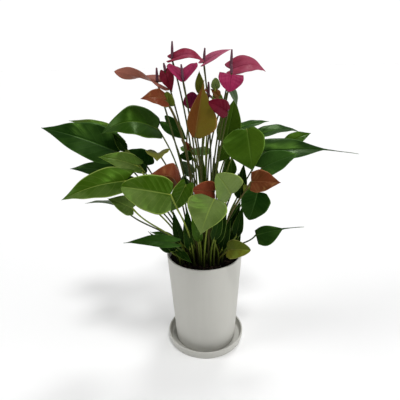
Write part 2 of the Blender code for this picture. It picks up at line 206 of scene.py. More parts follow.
FLOWERS = [
    Flower((185, 14), (-62, -10, 284), (-117, -30, 301), (-90, 35), 30, "salmon", arch=0.05, lobe=0.3,
        point=0.7, twist=165, spadix=(0, 0, 20)),
    Flower((150, 10), (-41, 8, 313), (7, 8, 307), (-90, 50), 22, "rose", arch=0.28, spadix=(1, 0, 25),
        tone=0.2),
    Flower((50, 20), (4, 32, 307), (45, 42, 325), (-90, 50), 16, "rose", spadix=(2, 0, 21), tone=1.2),
    Flower((240, 14), (-25, -32, 286), (-27, -3, 301), (-90, 60), 54, "magenta", lobe=0.1, fold=40,
        heel=0.3, point=0.8, spadix=(-2, 0, 23), tone=0.7),
    Flower((160, 5), (-50, -12, 298), (-41, -22, 272), (-90, 10), 20, "crimson", spadix=(-2, 3, 12),
        tone=0.5),
    Flower((225, 7), (-16, -8, 247), (-13, -16, 271), (90, 10), 24, "magenta", lobe=0.02, heel=0.5,
        point=0.6, spadix=(1, 6, 12), tone=0.25),
    Flower((340, 8), (41, -10, 299), (91, 0, 295), (-90, 50), 34, "rose", arch=0.22, spadix=(1, 0, 27),
        tone=0.4),
    Flower((320, 14), (40, -32, 295), (36, -44, 273), (-90, 20), 34, "magenta", fold=4, lobe=0.0, heel=0.95,
        point=0.7, spadix=(0, 2, 12), tone=0.6),
    Flower((300, 14), (35, -38, 246), (8, -54, 262), (-90, 20), 24, "crimson", lobe=0.03, heel=0.5,
        point=0.6, spadix=(-2, 3, 12), tone=0.1),
    Flower((60, 4), (10, 0, 263), (4, -18, 273), (-90, 40), 18, "crimson", spadix=(0, 0, 20), tone=0.8),
]

# Small blades deep in the plant and round the pot's mouth that have no CAD piece of their own; the deep
# family's near-black colour on them is painted shade
UNDERGROWTH = [
    Blade((340, 32), (55, -18, 117), (62, -12, 164), (-90, 10), 18, "deep", lobe=0.0, heel=0.5, tone=0.2),
    Blade((220, 22), (-23, -18, 107), (-29, -8, 147), (-90, 10), 18, "deep", lobe=0.05, heel=0.5, tone=0.5),
    Blade((345, 40), (35, -12, 24), (57, -6, 95), (-90, 10), 28, "deep", lobe=0.0, heel=0.4, tone=0.0),
    Blade((320, 30), (17, -28, 38), (35, -26, 109), (-90, 10), 20, "deep", lobe=0.0, heel=0.4, tone=0.2),
    Blade((260, 30), (-7, -38, 48), (-19, -50, 99), (-90, 10), 15, "green", lobe=0.0, heel=0.4, tone=0.3),
    Blade((20, 20), (2, 0, 90), (12, 4, 136), (-90, 10), 18, "deep", lobe=0.0, heel=0.4, tone=0.3),
    Blade((0, 22), (45, -5, 146), (44, 0, 173), (-90, 10), 14, "green", lobe=0.0, heel=0.6, tone=0.2),
    Blade((215, 42), (-53, -30, 27), (-86, -40, 68), (-90, 30), 16, "deep", lobe=0.0, heel=0.4, point=1.5,
        tone=0.5),
    Blade((172, 30), (-134, 25, 206), (-205, 27, 227), (-90, 50), 22, "light", lobe=0.05, tone=0.3),
    Blade((175, 28), (-116, -2, 185), (-133, -6, 214), (-80, 20), 15, "deep", lobe=0.0, heel=0.4, tone=0.1),
    Blade((205, 20), (-45, -30, 254), (-48, -32, 274), (-90, 20), 17, "olive", lobe=0.05, point=0.6,
        tone=0.2),
    Blade((60, 10), (19, -20, 276), (19, -24, 290), (-90, 30), 13, "light", heel=0.5, point=0.5, tone=0.9),
    Blade((70, 14), (24, -15, 264), (12, -20, 275), (-90, 30), 13, "bronze", lobe=0.05, tone=0.1),
    Blade((80, 10), (19, -10, 265), (31, -12, 259), (-90, 30), 11, "light", lobe=0.05, tone=0.6),
    Blade((100, 16), (-17, 5, 173), (-36, 5, 173), (-90, 20), 16, "deep", lobe=0.05, point=0.7, tone=0.7),
    Blade((110, 22), (-18, 25, 138), (-35, 30, 158), (-90, 30), 20, "grey", lobe=0.05, point=0.7, tone=0.3),
    Blade((340, 26), (76, -20, 113), (60, -25, 135), (-90, 20), 20, "olive", lobe=0.05, point=0.7,
        tone=0.1),
    Blade((200, 24), (-36, -20, 24), (-43, -28, 73), (-90, 20), 15, "deep", lobe=0.0, heel=0.4, point=1.4,
        tone=0.1),
    Blade((215, 26), (-23, -35, 34), (-31, -45, 91), (-80, 20), 15, "deep", lobe=0.0, heel=0.4, point=1.4,
        tone=0.4),
    Blade((330, 24), (28, -25, 26), (42, -30, 88), (-100, 20), 16, "deep", lobe=0.0, heel=0.4, point=1.4,
        tone=0.0),
    Blade((10, 14), (16, 0, 19), (25, -4, 86), (-90, 10), 14, "deep", lobe=0.0, heel=0.4, point=1.4,
        tone=0.2),
    Blade((350, 36), (42, -10, 17), (60, -12, 70), (-110, 10), 15, "deep", lobe=0.0, heel=0.4, point=1.4,
        tone=0.1),
    Blade((100, 12), (-7, 10, 12), (-19, 12, 76), (-80, 10), 16, "deep", lobe=0.0, heel=0.4, point=1.4,
        tone=0.0),
    Blade((190, 42), (-45, -12, 14), (-56, -16, 52), (-70, 20), 14, "deep", lobe=0.0, heel=0.4, point=1.4,
        tone=0.1),
    Blade((5, 44), (50, 0, 12), (57, 5, 92), (-100, 10), 18, "deep", lobe=0.0, heel=0.4, point=1.4,
        tone=0.3),
    Blade((80, 16), (5, 16, 8), (12, 20, 72), (-90, 10), 18, "deep", lobe=0.0, heel=0.4, point=1.4,
        tone=0.1),
    Blade((280, 22), (4, -20, 16), (2, -26, 62), (-90, 10), 12, "deep", lobe=0.0, heel=0.4, point=1.4,
        tone=0.0),
    Blade((200, 18), (-37, -30, 42), (-47, -30, 98), (-90, 15), 17, "deep", lobe=0.0, heel=0.4, tone=0.3),
    Blade((215, 10), (-23, -22, 41), (-26, -24, 100), (-95, 15), 18, "deep", lobe=0.0, heel=0.4, tone=0.6),
    Blade((90, 16), (1, 15, 120), (-2, 15, 180), (-100, 10), 13, "green", lobe=0.0, heel=0.4, tone=0.9),
    Blade((60, 20), (20, 10, 118), (16, 10, 171), (-80, 10), 13, "deep", lobe=0.0, heel=0.4, tone=0.5),
    Blade((30, 26), (36, 5, 123), (40, 5, 181), (-90, 10), 14, "green", lobe=0.0, heel=0.4, tone=0.2),
    Blade((345, 28), (57, -20, 114), (52, -22, 153), (-90, 10), 20, "deep", lobe=0.05, heel=0.6, tone=0.2),
    Blade((150, 14), (-26, 10, 112), (-32, 8, 140), (-80, 20), 22, "grey", lobe=0.08, heel=0.6, point=0.7,
        tone=0.3),
    Blade((198, 46), (-62, -20, 30), (-29, -35, 28), (-90, 50), 14, "deep", arch=0.1, lobe=0.0, heel=0.4,
        tone=0.2),
    Blade((215, 48), (-44, -42, 36), (-20, -50, 17), (-90, 45), 13, "deep", arch=0.1, lobe=0.0, heel=0.4,
        tone=0.4),
    Blade((285, 34), (14, -48, 55), (26, -50, 113), (-80, 15), 16, "deep", lobe=0.0, heel=0.4, tone=0.4),
    Blade((325, 34), (50, -30, 52), (59, -32, 105), (-100, 15), 17, "deep", lobe=0.0, heel=0.4, tone=0.2),
]


# ---------------------------------------------------------------- mesh helpers


def cells(grid, flip):
    """The values at the four corners of each cell of a grid, in turn."""
    found = [grid[:-1, :-1], grid[:-1, 1:], grid[1:, 1:], grid[1:, :-1]]
    return np.stack([c.reshape(-1) for c in (found[::-1] if flip else found)], axis=1)


class Build:
    """Collects grids of points into one mesh with UVs and material slots."""

    def __init__(self):
        self.places = []
        self.quads = []
        self.uvs = []
        self.slots = []
        self.tones = []
        self.count = 0

    def points(self, places, tone=0.0):
        start = self.count
        self.places.append(places)
        self.tones.append(np.broadcast_to(tone, len(places)).astype(float))
        self.count += len(places)
        return start + np.arange(len(places))

    def skin(self, index, across, along, slot, flip=False):
        """Faces over a grid of point numbers; across and along are the UVs of its columns and rows."""
        u, v = np.meshgrid(across, along)
        quads, u, v = (cells(grid, flip) for grid in (index, u, v))
        uv = np.stack([u, v], axis=-1)
        self.quads.append(quads)
        self.uvs.append(uv)
        self.slots.append(np.full(len(quads), slot))

    def wrap(self, index, along, slot, flip=False):
        """A skin over rings of points, each ring closed."""
        wrapped = np.concatenate([index, index[:, :1]], axis=1)
        self.skin(wrapped, np.linspace(0, 1, wrapped.shape[1]), along, slot, flip)

    def fan(self, ring, middle, slot, flip=False):
        """Triangles, held as quads with a doubled corner, from a ring of points to one in its middle."""
        following = np.roll(ring, -1)
        quads = np.stack([ring, following, np.full(len(ring), middle), np.full(len(ring), middle)], axis=1)
        if flip:
            quads = quads[:, ::-1]
        self.quads.append(quads)
        self.uvs.append(np.zeros((len(quads), 4, 2)))
        self.slots.append(np.full(len(quads), slot))

    def finish(self, name, materials):
        places = np.concatenate(self.places)
        tones = np.concatenate(self.tones)
        quads = np.concatenate(self.quads)
        uvs = np.concatenate(self.uvs)
        used, renumbered = np.unique(quads, return_inverse=True)
        quads = renumbered.reshape(quads.shape)
        faces = []
        spots = []
        for quad, uv in zip(quads.tolist(), uvs.tolist()):
            kept = [i for i in range(4) if quad[i] != quad[i - 1]]
            faces.append([quad[i] for i in kept])
            spots.extend(uv[i] for i in kept)
        mesh = bpy.data.meshes.new(name)
        mesh.from_pydata(places[used].tolist(), [], faces)
        layer = mesh.uv_layers.new(name="UVMap")
        layer.data.foreach_set("uv", np.array(spots, np.float32).reshape(-1))
        tone = mesh.attributes.new("tone", "FLOAT", "POINT")
        tone.data.foreach_set("value", tones[used].astype(np.float32))
        mesh.polygons.foreach_set("material_index", np.concatenate(self.slots).astype(np.int32))
        mesh.shade_smooth()
        for made in materials:
            mesh.materials.append(made)
        mesh.update()
        thing = bpy.data.objects.new(name, mesh)
        bpy.context.scene.collection.objects.link(thing)
        return thing


def unit(vector):
    return vector / np.linalg.norm(vector, axis=-1, keepdims=True)


def smooth(low, high, value):
    share = np.clip((value - low) / (high - low), 0.0, 1.0)
    return share * share * (3 - 2 * share)


def tube(build, points, radii, sides, slot, tone=0.0, swell=None):
    """A round tube with closed ends; swell(along, angles) scales its radius."""
    points = np.asarray(points)
    along = unit(np.gradient(points, axis=0))
    turn = np.cross(along[0], (0.0, 1.0, 0.0) if abs(along[0][1]) < 0.9 else (1.0, 0.0, 0.0))
    angles = np.arange(sides) * math.tau / sides
    rings = []
    for place, ahead, radius, share in zip(points, along, radii, np.linspace(0, 1, len(points))):
        turn = unit(turn - ahead * (turn @ ahead))
        across = np.cross(ahead, turn)
        size = radius * (swell(share, angles) if swell else np.ones(sides))
        rings.append(place + np.outer(np.cos(angles) * size, turn) + np.outer(np.sin(angles) * size, across))
    places = np.array(rings)
    tones = np.repeat(np.broadcast_to(tone, len(points)), sides)
    index = build.points(places.reshape(-1, 3), tones).reshape(len(points), sides)
    ends = build.points(np.array([points[0], points[-1]]), (tones[0], tones[-1]))
    lengths = np.concatenate([[0.0], np.cumsum(np.linalg.norm(np.diff(points, axis=0), axis=1))])
    build.wrap(index, lengths / lengths[-1], slot)
    build.fan(index[0], ends[0], slot, flip=True)
    build.fan(index[-1], ends[1], slot)


def turned(build, outline, steps, slot=0):
    """The outline's (radius, height) points turned round Z."""
    outline = np.asarray(outline)
    angles = np.arange(steps) * math.tau / steps
    places = np.stack(
        [
            np.outer(outline[:, 0], np.cos(angles)),
            np.outer(outline[:, 0], np.sin(angles)),
            np.repeat(outline[:, 1:], steps, axis=1),
        ],
        axis=-1,
    )
    index = build.points(places.reshape(-1, 3)).reshape(len(outline), steps)
    build.wrap(index, np.linspace(0, 1, len(outline)), slot)
    return index


def rounded(points, radius, steps=6):
    """An open outline with each inner corner replaced by a curve that starts at most radius from it."""
    points = [np.array(p, float) for p in points]
    result = [points[0]]
    for before, here, after in zip(points, points[1:], points[2:]):
        reach = min(radius, 0.45 * np.linalg.norm(before - here), 0.45 * np.linalg.norm(after - here))
        first = here + unit(before - here) * reach
        last = here + unit(after - here) * reach
        for share in np.linspace(0, 1, steps):
            result.append(first * (1 - share) ** 2 + here * 2 * share * (1 - share) + last * share**2)
    result.append(points[-1])
    return result


# ---------------------------------------------------------------- blades and stalks


def direction(turn, rise):
    turn = math.radians(turn)
    rise = math.radians(rise)
    return np.array([math.cos(turn) * math.cos(rise), math.sin(turn) * math.cos(rise), math.sin(rise)])


def from_mm(place):
    return np.array(place, float) * MM


def stalk_route(plan, rings):
    """The stalk's points in the plant's frame, as in the CAD source but finer."""
    turn, distance = plan.root
    foot = direction(turn, 0.0) * distance * MM
    foot[2] = GAP
    end = from_mm(plan.base)
    reach = end - foot
    outwards = np.array([reach[0], reach[1], 0.0])
    length = np.linalg.norm(reach)
    arrival = unit(unit(outwards) * plan.lean + np.array([0.0, 0.0, 1.0]))
    start = foot + np.array([0.0, 0.0, STALK_FOOT])
    first = start + outwards * STALK_SPREAD + np.array([0.0, 0.0, length * STALK_UPRIGHT])
    second = end - arrival * length * STALK_ARRIVAL
    share = np.linspace(0, 1, rings)[:, None]
    rest = 1 - share
    bends = start * rest**3 + first * 3 * rest**2 * share + second * 3 * rest * share**2 + end * share**3
    return np.concatenate([[foot - np.array([0.0, 0.0, STALK_BURIED])], bends])


def blade_frame(plan):
    chord = from_mm(plan.tip) - from_mm(plan.base)
    length = np.linalg.norm(chord)
    along = chord / length
    aside = unit(np.cross(along, direction(*plan.face)))
    return length, along, aside, np.cross(aside, along)


def half_width(share, plan):
    full = plan.width * MM / 2
    body = share / (1 - plan.drip)
    growth = np.sin(math.pi / 2 * np.clip(body / WIDEST_SHARE, 0, 1))
    wide = full * (plan.heel + (1 - plan.heel) * growth)
    rest = np.clip((body - WIDEST_SHARE) / (1 - WIDEST_SHARE), 0, 1)
    tail = TAIL_HALF_WIDTH if plan.drip else TIP_HALF_WIDTH
    narrowing = np.maximum(full * np.cos(math.pi / 2 * rest) ** plan.point, tail)
    thread = TIP_HALF_WIDTH + (TAIL_HALF_WIDTH - TIP_HALF_WIDTH) * (1 - share)
    return np.where(body < WIDEST_SHARE, wide, np.where(body < 1, narrowing, thread))


def blade(build, plan, seed, veins, thickness, slots):
    """Both faces of a blade, closed along its margin: grooved over the midrib, keeled under it, puckered
    between its side veins and waved along its edge."""
    chance = np.random.RandomState(seed)
    length, along, aside, upwards = blade_frame(plan)
    share = np.linspace(0, 1, BLADE_ROWS + 1)[:, None]
    steps = np.linspace(-1, 1, BLADE_COLUMNS + 1)
    across = (np.sign(steps) * np.abs(steps) ** 1.25)[None, :]
    half = half_width(share, plan) * (1 + plan.skew * np.sign(across))
    out = np.abs(across)
    back = plan.lobe * length * (1 - share) ** 3 * np.abs(np.sin(LOBE_TURN * out)) ** LOBE_HOLLOW
    fold = math.radians(plan.fold)
    bow = plan.arch * length * np.sin(math.pi * share)
    waves = 2.2 + chance.rand(2) * 1.3
    starts = chance.rand(2) * math.tau
    side = (across > 0).astype(int)
    ripple = np.sin(math.tau * waves[side] * share + starts[side]) * smooth(0.0, 0.2, 1 - share)
    lift = plan.wave * plan.width * MM * ripple * out**2
    rank = share * veins - out**VEIN_BEND * veins * VEIN_SWEEP
    pucker = PUCKER * np.cos(math.tau * rank) * np.clip(out * (1 - out) * 4, 0, 1) * (1 - share)
    groove = -GROOVE_DEPTH * np.exp(-((out * half / GROOVE_HALF_WIDTH) ** 2)) * (1 - share) ** 0.5
    middle = (
        from_mm(plan.base)
        + (share * length - back)[..., None] * along
        + (bow + 0 * across)[..., None] * upwards
    )
    turn = math.radians(plan.twist) * share
    side_way = across * half * math.cos(fold)
    rise = out * half * math.sin(fold) + lift + pucker + groove
    first = np.cos(turn) * side_way + np.sin(turn) * rise
    second = np.cos(turn) * rise - np.sin(turn) * side_way
    places = middle + first[..., None] * aside + second[..., None] * upwards
    normal = unit(np.cross(np.gradient(places, axis=1), np.gradient(places, axis=0)))
    edge = np.sqrt(np.clip(1 - out**10, 0, 1)) * np.sqrt(np.clip(1 - (1 - share) ** 30, 0, 1))
    edge = edge * np.sqrt(np.clip(1 - share**30, 0, 1))
    keel = KEEL_DEPTH * np.exp(-((out * half / KEEL_HALF_WIDTH) ** 2)) * (1 - share) ** 0.8
    # The split is painted light and shade: one half of the folded blade lighter, the other darker.
    tone = plan.tone + 0.12 * (share - 0.5) + plan.split * np.clip(across * 6, -1, 1)
    upper = places + normal * (thickness / 2 * edge)[..., None]
    lower = places - normal * ((thickness / 2 + keel) * edge)[..., None]
    over = build.points(ORIGIN + upper.reshape(-1, 3), tone.reshape(-1)).reshape(share.size, across.size)
    under = build.points(ORIGIN + lower.reshape(-1, 3), tone.reshape(-1)).reshape(share.size, across.size)
    for rim in ((0, slice(None)), (-1, slice(None)), (slice(None), 0), (slice(None), -1)):
        under[rim] = over[rim]
    build.skin(over, (across[0] + 1) / 2, share[:, 0], slots[0])
    build.skin(under, (across[0] + 1) / 2, share[:, 0], slots[1], flip=True)


def stalk_radii(count, base_radius, top_radius):
    """A sheathed foot, a long taper and the swollen joint under the blade."""
    share = np.linspace(0, 1, count)
    taper = base_radius + (top_radius - base_radius) * share
    sheath = 1 + SHEATH_SWELL * (1 - smooth(0.02, 0.10, share))
    joint = 1 + JOINT_SWELL * smooth(0.93, 0.965, share) * (1 - smooth(0.985, 1.0, share) * 0.6)
    return taper * sheath * joint


def leaf(name, plan, seed, node=None):
    build = Build()
    route = stalk_route(plan, STALK_RINGS)
    radii = stalk_radii(len(route), STALK_RADIUS, STALK_TOP_RADIUS)
    length, along, _, upwards = blade_frame(plan)
    base = from_mm(plan.base)
    run = [
        base + along * length * s + upwards * (plan.arch * length * math.sin(math.pi * s) - MIDRIB_DROP)
        for s in MIDRIB_SHARES
    ]
    route = np.concatenate([route, run])
    radii = np.concatenate([radii, MIDRIB_RADII])
    tube(build, ORIGIN + route, radii, STALK_SIDES, 2, tone=np.linspace(0.0, 1.0, len(route)))
    blade(build, plan, seed, LEAF_VEINS, LEAF_THICKNESS, (0, 1))
    looks = [leaf_material(plan.colour), under_material(plan.colour), stalk_material(plan.colour)]
    made = build.finish(name, looks)
    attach(made, "root")
    if node:
        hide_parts(node)


def spadix_swell(share, angles):
    """The spadix's tight lattice of tiny flowers."""
    body = smooth(0.0, 0.04, share) * (1 - smooth(0.97, 1.0, share))
    return 1 + 0.075 * body * np.cos(6 * angles + share * 70) * np.cos(5 * angles - share * 70)


def flower(number, plan):
    base = from_mm(plan.base)
    route = stalk_route(plan, STALK_RINGS)
    build = Build()
    top = base + from_mm(plan.spadix) * 0.1
    radii = stalk_radii(len(route), STALK_RADIUS, STALK_TOP_RADIUS * 1.05)
    radii = np.concatenate([radii[:-1], [0.0013, 0.0011]])
    places = ORIGIN + np.concatenate([route, [top]])
    tube(build, places, radii, STALK_SIDES, 0, tone=np.linspace(0, 1, len(places)))
    share = np.linspace(0, 1, SPADIX_RINGS)
    bend = np.array([plan.spadix[1], -plan.spadix[0], 0.0]) * 0.06 * MM
    line = base + np.outer(0.06 + 0.94 * share, from_mm(plan.spadix))
    line = line + np.outer(np.sin(math.pi * share), bend)
    girth = SPADIX_RADIUS - SPADIX_TAPER * smooth(0.5, 1.0, share)
    girth = girth * np.sqrt(np.clip(1 - (1 - np.minimum(share / 0.05, 1)) ** 2, 0.15, 1))
    girth = girth * np.sqrt(np.clip(1 - (np.maximum(share - 0.94, 0) / 0.06) ** 2, 0.02, 1))
    tube(build, ORIGIN + line, girth, SPADIX_SIDES, 1, tone=share, swell=spadix_swell)
    stem = build.finish(f"flower_stem_{number:02d}", [stalk_material("flower"), spadix_material()])
    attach(stem, "root")
    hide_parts(f"flower_stalk_{number:02d}")
    build = Build()
    blade(build, plan, 100 + number, SPATHE_VEINS, SPATHE_THICKNESS, (0, 1))
    looks = [spathe_material(plan.colour), spathe_material(plan.colour, True)]
    petal = build.finish(f"flower_spathe_{number:02d}", looks)
    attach(petal, "root")
    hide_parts(f"spathe_{number:02d}")


# ---------------------------------------------------------------- material helpers


class Shade:
    """A material with a Principled shader, and short ways to add the nodes that feed it."""

    def __init__(self, name, roughness=0.5, **sockets):
        self.material = bpy.data.materials.new(name)
        self.material.use_nodes = True
        self.tree = self.material.node_tree
        self.shader = self.tree.nodes["Principled BSDF"]
        self.shader.inputs["Roughness"].default_value = roughness
        for socket, value in sockets.items():
            self.shader.inputs[socket.replace("_", " ")].default_value = value

    def add(self, kind, **settings):
        node = self.tree.nodes.new(kind)
        for key, value in settings.items():
            setattr(node, key, value)
        return node

    def put(self, socket, value):
        if isinstance(value, bpy.types.NodeSocket):
            self.tree.links.new(value, socket)
        elif isinstance(value, tuple) and len(value) == 3 and len(socket.default_value) == 4:
            socket.default_value = (*value, 1.0)
        else:
            socket.default_value = value

    def sum(self, kind, *values, clamp=False):
        node = self.add("ShaderNodeMath", operation=kind, use_clamp=clamp)
        for socket, value in zip(node.inputs, values):
            self.put(socket, value)
        return node.outputs[0]

    def mix(self, share, first, second):
        node = self.add("ShaderNodeMix", data_type="RGBA")
        self.put(node.inputs[0], share)
        self.put(node.inputs[6], first)
        self.put(node.inputs[7], second)
        return node.outputs[2]

    def between(self, value, low, high, to_low=0.0, to_high=1.0):
        node = self.add("ShaderNodeMapRange", interpolation_type="SMOOTHSTEP")
        self.put(node.inputs[0], value)
        for socket, number in zip(node.inputs[1:5], (low, high, to_low, to_high)):
            self.put(socket, number)
        return node.outputs[0]

    def uv(self):
        node = self.add("ShaderNodeSeparateXYZ")
        self.put(node.inputs[0], self.add("ShaderNodeUVMap", uv_map="UVMap").outputs[0])
        return node.outputs[0], node.outputs[1]

    def place(self, scale=(1.0, 1.0, 1.0)):
        node = self.add("ShaderNodeMapping")
        self.put(node.inputs["Vector"], self.add("ShaderNodeTexCoord").outputs["Object"])
        self.put(node.inputs["Scale"], scale)
        return node.outputs[0]

    def noise(self, scale, detail=2.0, vector=None, rough=0.5):
        node = self.add("ShaderNodeTexNoise")
        self.put(node.inputs["Vector"], vector or self.place())
        self.put(node.inputs["Scale"], scale)
        self.put(node.inputs["Detail"], detail)
        self.put(node.inputs["Roughness"], rough)
        return node.outputs[0]

    def tone(self):
        return self.add("ShaderNodeAttribute", attribute_name="tone").outputs["Fac"]

    def drift(self, noise, amount):
        """The noise as a swing of this amount round nought."""
        return self.sum("MULTIPLY", self.sum("SUBTRACT", noise, 0.5), amount)

    def toned(self, noise, amount):
        """The mesh's own tone with a swing from the noise, from 0 to 1."""
        return self.sum("ADD", self.tone(), self.drift(noise, amount), clamp=True)

    def bump(self, height, strength, distance):
        node = self.add("ShaderNodeBump")
        self.put(node.inputs["Strength"], strength)
        self.put(node.inputs["Distance"], distance)
        self.put(node.inputs["Height"], height)
        self.put(self.shader.inputs["Normal"], node.outputs[0])

    def colour(self, value):
        self.put(self.shader.inputs["Base Color"], value)


MADE = {}


def once(maker):
    """Each material is made the first time that it is asked for."""

    def ask(*key):
        name = (maker.__name__, *key)
        if name not in MADE:
            MADE[name] = maker(*key)
        return MADE[name]

    return ask


# Two colours that a leaf's upper side lies between, its veins' and its underside's
LEAF_COLOURS = {
    "dark": ((0.003, 0.018, 0.002), (0.024, 0.066, 0.010), (0.035, 0.085, 0.016), (0.060, 0.105, 0.035)),
    # The deep family's near-black blade colours are painted shade, for blades in the shade deep in the plant
    # and in the pot's mouth.
    "deep": ((0.002, 0.010, 0.001), (0.008, 0.030, 0.003), (0.080, 0.125, 0.022), (0.014, 0.030, 0.006)),
    "green": ((0.014, 0.044, 0.002), (0.048, 0.098, 0.006), (0.075, 0.140, 0.018), (0.085, 0.140, 0.030)),
    "light": ((0.026, 0.062, 0.002), (0.150, 0.205, 0.060), (0.185, 0.250, 0.050), (0.130, 0.190, 0.050)),
    "grey": ((0.050, 0.085, 0.035), (0.160, 0.220, 0.130), (0.170, 0.230, 0.130), (0.080, 0.110, 0.060)),
    "olive": ((0.065, 0.080, 0.010), (0.135, 0.130, 0.012), (0.170, 0.165, 0.040), (0.100, 0.105, 0.030)),
    "bronze": ((0.115, 0.036, 0.008), (0.115, 0.095, 0.010), (0.170, 0.085, 0.025), (0.120, 0.070, 0.030)),
    "rust": ((0.032, 0.014, 0.002), (0.200, 0.042, 0.020), (0.200, 0.070, 0.025), (0.130, 0.050, 0.028)),
}

STALK_COLOURS = {
    "dark": ((0.026, 0.044, 0.006), (0.048, 0.080, 0.012)),
    "deep": ((0.040, 0.062, 0.006), (0.160, 0.215, 0.026)),
    "green": ((0.060, 0.088, 0.008), (0.150, 0.200, 0.022)),
    "light": ((0.095, 0.130, 0.012), (0.240, 0.300, 0.040)),
    "grey": ((0.040, 0.050, 0.015), (0.070, 0.085, 0.030)),
    "olive": ((0.060, 0.064, 0.010), (0.110, 0.110, 0.018)),
    "bronze": ((0.048, 0.058, 0.008), (0.095, 0.085, 0.018)),
    "rust": ((0.050, 0.050, 0.010), (0.110, 0.080, 0.020)),
    "flower": ((0.085, 0.118, 0.011), (0.040, 0.034, 0.013)),
}

# Two colours of the inner side, the veins' and the back's
SPATHE_COLOURS = {
    "salmon": ((0.260, 0.090, 0.060), (0.350, 0.130, 0.098), (0.190, 0.065, 0.046), (0.300, 0.118, 0.082)),
    "rose": ((0.215, 0.014, 0.034), (0.370, 0.088, 0.150), (0.180, 0.016, 0.038), (0.270, 0.045, 0.078)),
    "magenta": ((0.110, 0.003, 0.026), (0.370, 0.030, 0.100), (0.110, 0.006, 0.028), (0.230, 0.022, 0.065)),
    "crimson": ((0.090, 0.001, 0.009), (0.185, 0.014, 0.026), (0.055, 0.002, 0.007), (0.110, 0.005, 0.018)),
}

WARM_LEAVES = ("rust", "bronze")


def vein_mask(shade, ranks):
    """(veins, way out to the margin, place between side veins) from the blade's UVs. The veins are the
    midrib, curved side veins and the line that joins them near the margin."""
    u, v = shade.uv()
    out = shade.sum("ABSOLUTE", shade.sum("MULTIPLY_ADD", u, 2.0, -1.0))
    wobble = shade.drift(shade.noise(60.0), 0.5)
    sweep = shade.sum("MULTIPLY", shade.sum("POWER", out, VEIN_BEND), ranks * VEIN_SWEEP)
    rank = shade.sum("SUBTRACT", shade.sum("MULTIPLY", v, ranks), sweep)
    rank = shade.sum("ADD", rank, wobble)
    saw = shade.sum("ABSOLUTE", shade.sum("MULTIPLY_ADD", shade.sum("FRACT", rank), 2.0, -1.0))
    side = shade.between(saw, 0.84, 0.99)
    side = shade.sum("MULTIPLY", side, shade.between(out, 0.80, 0.93, 1.0, 0.0))
    joined = shade.between(shade.sum("ABSOLUTE", shade.sum("SUBTRACT", out, 0.88)), 0.0, 0.02, 0.2, 0.0)
    middle = shade.between(out, 0.015, 0.05, 1.0, 0.0)
    beside = shade.sum("MAXIMUM", shade.sum("MULTIPLY", side, 0.26), joined)
    return shade.sum("MAXIMUM", middle, beside), out, saw


@once
def leaf_material(family):
    low, high, vein, _ = LEAF_COLOURS[family]
    warm = family in WARM_LEAVES
    level = 0.08 if family == "deep" else 0.2 if warm else 0.25
    gloss = (1.0, 0.6, 0.2, 1.0) if warm else (0.42, 0.9, 0.1, 1.0)
    shade = Shade("leaf_" + family, 0.4, Specular_IOR_Level=level, Specular_Tint=gloss)
    veins, out, saw = vein_mask(shade, LEAF_VEINS)
    patches = shade.noise(34.0, 3.0)
    fine = shade.noise(900.0, 3.0)
    body = shade.mix(shade.toned(patches, 0.9 if warm else 1.3), low, high)
    body = shade.mix(shade.between(fine, 0.35, 0.65, 0.0, 0.16), body, low)
    body = shade.mix(shade.sum("MULTIPLY", veins, 0.66), body, vein)
    # A lighter band along the upper side's margin: painted highlight, the light caught along the blade's
    # edges.
    margin = tuple(c * 1.6 for c in vein)
    shade.colour(shade.mix(shade.between(out, 0.92, 0.965, 0.0, 0.85), body, margin))
    shade.put(shade.shader.inputs["Roughness"], shade.between(patches, 0.2, 0.8, 0.26, 0.42))
    height = shade.sum("SUBTRACT", shade.sum("MULTIPLY", fine, 0.25), shade.sum("MULTIPLY", veins, 0.8))
    shade.bump(shade.sum("SUBTRACT", height, shade.sum("MULTIPLY", saw, 0.3)), 0.35, 0.0005)
    return shade.material


@once
def under_material(family):
    _, _, vein, low = LEAF_COLOURS[family]
    shade = Shade("leaf_under_" + family, 0.55, Specular_IOR_Level=0.12)
    veins, _, _ = vein_mask(shade, LEAF_VEINS)
    fine = shade.noise(700.0, 3.0)
    body = shade.mix(shade.between(fine, 0.3, 0.7, 0.0, 0.3), low, tuple(c * 0.7 for c in low))
    shade.colour(shade.mix(shade.sum("MULTIPLY", veins, 0.5), body, vein))
    shade.bump(shade.sum("ADD", shade.sum("MULTIPLY", fine, 0.2), veins), 0.4, 0.0005)
    return shade.material


@once
def stalk_material(family):
    low, high = STALK_COLOURS[family]
    shade = Shade("stalk_" + family, 0.45, Specular_IOR_Level=0.15)
    streaks = shade.noise(380.0, 3.0, shade.place((1.0, 1.0, 0.06)))
    specks = shade.noise(1500.0, 2.0)
    along = shade.sum("MULTIPLY", shade.tone(), 0.75)
    body = shade.mix(shade.sum("ADD", along, shade.drift(streaks, 0.8), clamp=True), low, high)
    body = shade.mix(shade.between(specks, 0.62, 0.72, 0.0, 0.35), body, tuple(c * 0.5 for c in low))
    # Painted shade: each stalk darkens to near black at its foot, where it stands in the shade under the
    # foliage.
    foot = (0.010, 0.013, 0.003)
    shade.colour(shade.mix(shade.between(shade.tone(), 0.02, 0.26, 0.9, 0.0), body, foot))
    shade.bump(streaks, 0.3, 0.0003)
    return shade.material


